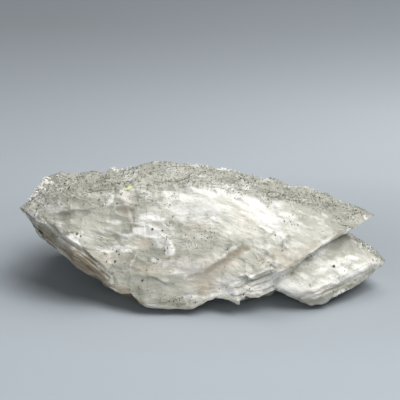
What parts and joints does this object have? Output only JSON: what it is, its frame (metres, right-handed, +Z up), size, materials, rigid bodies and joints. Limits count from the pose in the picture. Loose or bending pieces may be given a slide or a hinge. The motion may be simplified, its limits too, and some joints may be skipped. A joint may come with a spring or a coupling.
{
  "type": "mineral specimen",
  "caption": "Boat-shaped lump of milky barite dusted with fine pyrite, a thin-edged plate grown into a smaller tabular crystal.",
  "frame": {"origin": "bottom centre of the box round the specimen, on the surface it rests on", "axes": "+Z up, +X along the specimen towards the thin wing and the smaller crystal, -Y towards the bright front face"},
  "size_m": [0.1486, 0.0804, 0.0481],
  "materials": {
    "milky_barite": "milky, dull vitreous gloss on cleavage faces, powdery white where bruised"
  },
  "bodies": {
    "root": {"barite": "milky_barite"}
  },
  "joints": []
}
